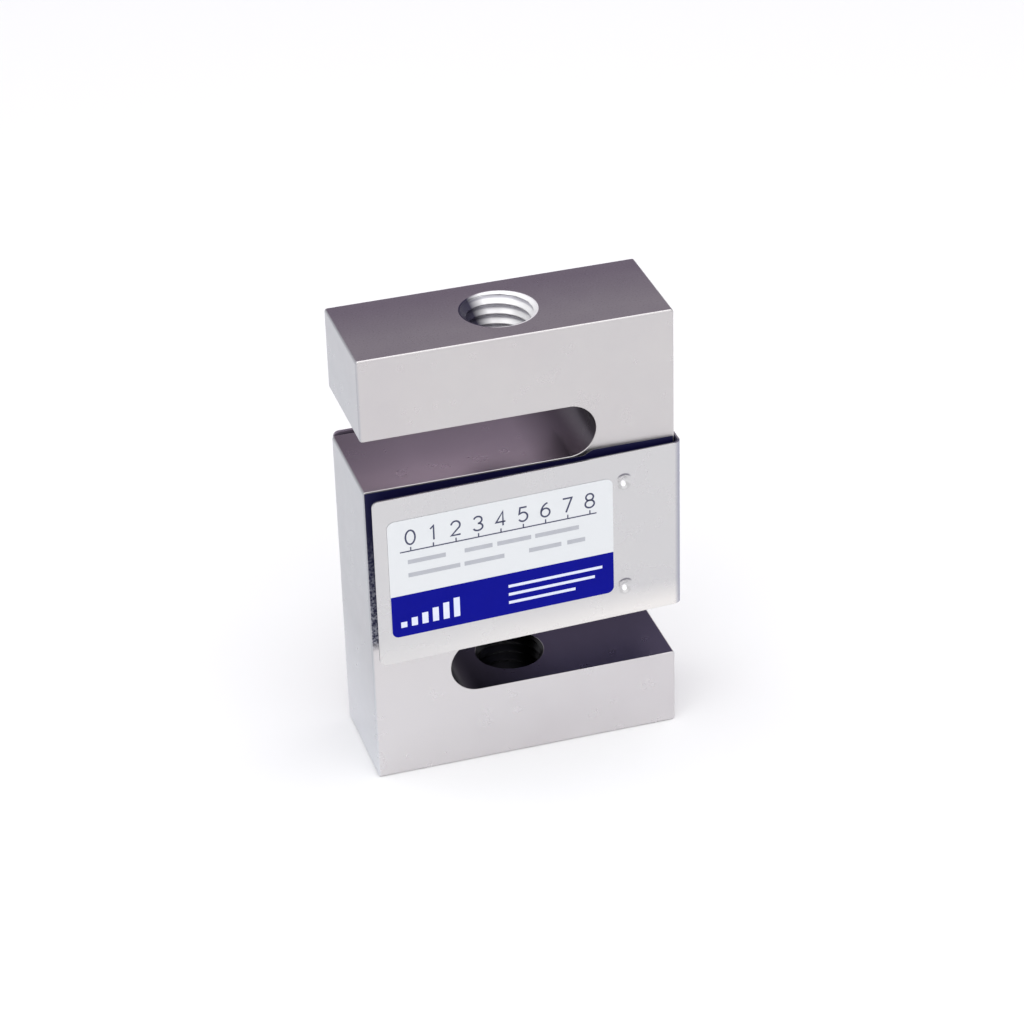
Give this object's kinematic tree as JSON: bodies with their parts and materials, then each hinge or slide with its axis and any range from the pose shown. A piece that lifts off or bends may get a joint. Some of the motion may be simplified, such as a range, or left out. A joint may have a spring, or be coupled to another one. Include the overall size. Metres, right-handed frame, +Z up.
{
  "type": "s type load cell",
  "caption": "S-shaped steel force sensor with a tapped hole in each arm, opposed slots, and a folded sheet cover with a plain label over its gauge pockets.",
  "frame": {"origin": "centre of the bottom face, on the common axis of the tapped holes", "axes": "+Z up along the tapped holes, the labelled side of the cover faces -Y, the folded edge of the cover and the cable inlet are on +X"},
  "size_m": [0.0515, 0.0243, 0.0762],
  "materials": {
    "nickel_plated_steel": "satin nickel plate on alloy steel",
    "cover_sheet_steel": "fine satin sheet steel",
    "printed_label": "white film with a deep blue band",
    "red_insulation": "smooth",
    "black_insulation": "smooth",
    "green_insulation": "smooth",
    "white_insulation": "smooth",
    "tinned_copper": "bright tin",
    "circuit_board": "green lacquer",
    "chip_ceramic": "matt",
    "plain_brass": "turned",
    "plated_brass": "nickel plated, turned",
    "black_rubber": "matt",
    "gauge_film": "amber film",
    "gauge_foil": "etched foil",
    "terminal_laminate": "laminate",
    "clear_potting": "soft, cloudy",
    "lid_steel": "rolled",
    "dark_sealant": "matt"
  },
  "bodies": {
    "root": {"spring_body": "nickel_plated_steel", "wrap_cover": "cover_sheet_steel", "rating_label": "printed_label", "red_bridge_wire": "red_insulation", "black_bridge_wire": "black_insulation", "green_bridge_wire": "green_insulation", "white_bridge_wire": "white_insulation", "board_pins": "tinned_copper", "compensation_board": "circuit_board", "trim_resistors": "chip_ceramic", "inlet_washer": "plain_brass", "inlet_bushing": "plated_brass", "inlet_grommet": "black_rubber", "front_gauge_film": "gauge_film", "front_gauge_grid": "gauge_foil", "front_terminal_strip": "terminal_laminate", "front_terminal_tabs": "tinned_copper", "front_potting": "clear_potting", "front_pocket_lid": "lid_steel", "front_sealant_pad": "dark_sealant", "rear_gauge_film": "gauge_film", "rear_gauge_grid": "gauge_foil", "rear_terminal_strip": "terminal_laminate", "rear_terminal_tabs": "tinned_copper", "rear_potting": "clear_potting", "rear_pocket_lid": "lid_steel", "rear_sealant_pad": "dark_sealant"}
  },
  "joints": []
}
